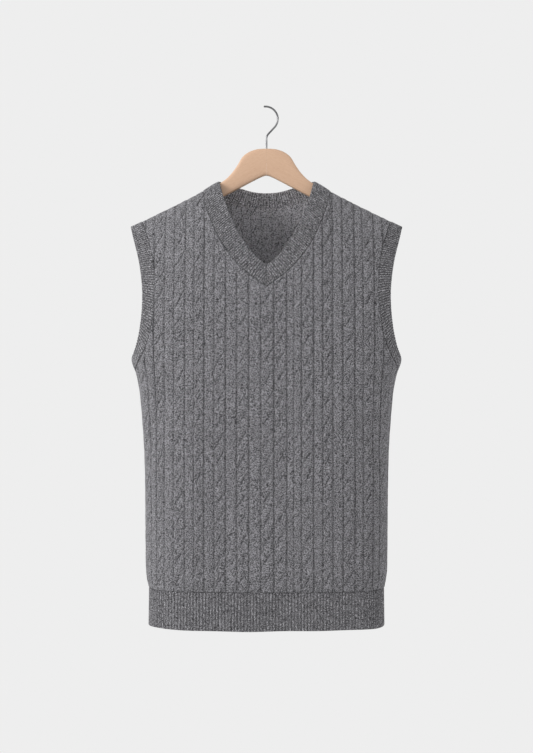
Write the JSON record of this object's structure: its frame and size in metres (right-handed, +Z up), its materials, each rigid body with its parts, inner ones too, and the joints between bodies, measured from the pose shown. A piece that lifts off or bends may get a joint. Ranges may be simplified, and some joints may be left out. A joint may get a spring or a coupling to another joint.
{
  "type": "knitted v-neck sweater vest on a wooden hanger",
  "caption": "Grey cable-knit sleeveless pullover with a V neck, ribbed neckband, armholes and hem, hanging on a wooden hanger with a steel hook",
  "frame": {"origin": "inside top of the hook, where it hangs on a rail", "axes": "+X to the viewer's right across the shoulders, +Y towards the back of the vest, +Z up"},
  "size_m": [0.4062, 0.1408, 0.7757],
  "materials": {
    "knit": "soft wool yarn in a heathered mid grey, worked in leaning cables and ribs with visible stitches",
    "rib_knit": "the same grey wool yarn in fine one by one rib",
    "wood": "pale pinkish beech with fine grain, smooth satin lacquer, rounded edges",
    "hook_wire": "round steel wire with a dull plated sheen"
  },
  "bodies": {
    "root": {"front_panel": "knit", "back_panel": "knit", "hem_rib_front": "rib_knit", "hem_rib_back": "rib_knit", "neckband_left": "rib_knit", "neckband_right": "rib_knit", "neckband_back": "rib_knit", "armhole_band_left": "rib_knit", "armhole_band_right": "rib_knit", "hanger_wood_left": "wood", "hanger_wood_right": "wood", "hanger_hook": "hook_wire"}
  },
  "joints": []
}
